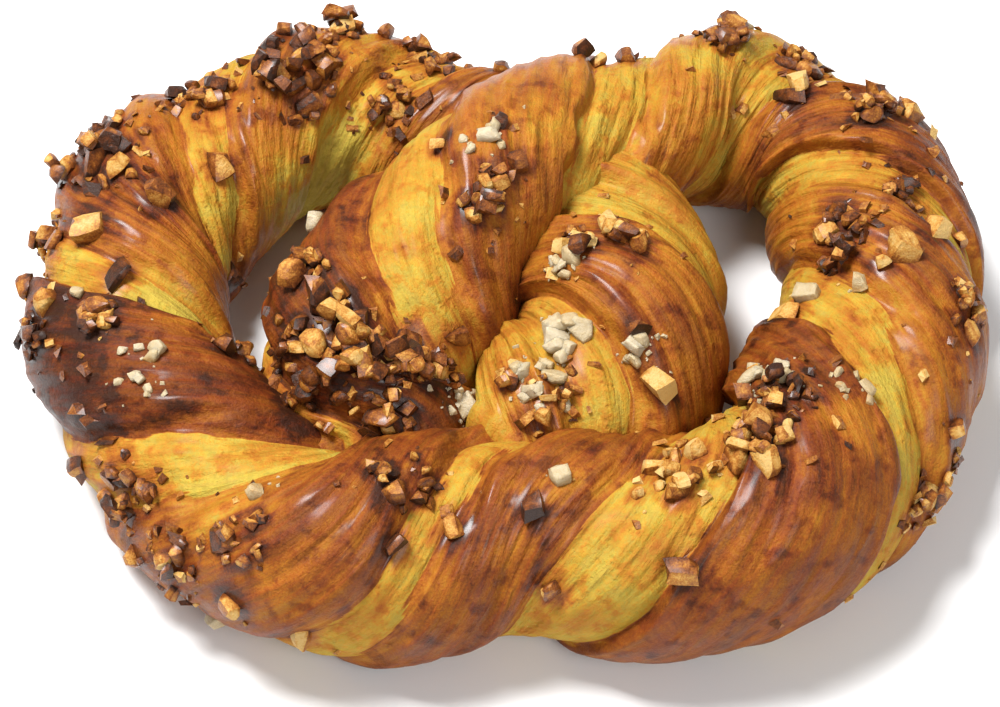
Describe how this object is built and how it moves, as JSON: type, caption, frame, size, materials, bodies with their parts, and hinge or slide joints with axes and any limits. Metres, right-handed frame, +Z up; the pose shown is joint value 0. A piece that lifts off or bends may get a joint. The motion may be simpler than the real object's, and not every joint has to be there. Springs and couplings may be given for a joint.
{
  "type": "soft pretzel",
  "caption": "Sweet pretzel of layered yeast dough, a twisted rope looped with a crossing and open side holes, with brown crust bands, yellow bands, chopped nuts and pearl sugar",
  "frame": {"origin": "under the middle of the pretzel, on the surface it lies on", "axes": "+Z up, X along the longer side of the pretzel, -Y towards its belly, the long round side away from the crossing"},
  "size_m": [0.1594, 0.1253, 0.0464],
  "materials": {
    "crust": "baked sweet dough, egg-washed and glossy on the brown bands, soft and matt on the yellow ones, strewn with chopped nuts and pearl sugar"
  },
  "bodies": {
    "root": {"pretzel": "crust"}
  },
  "joints": []
}
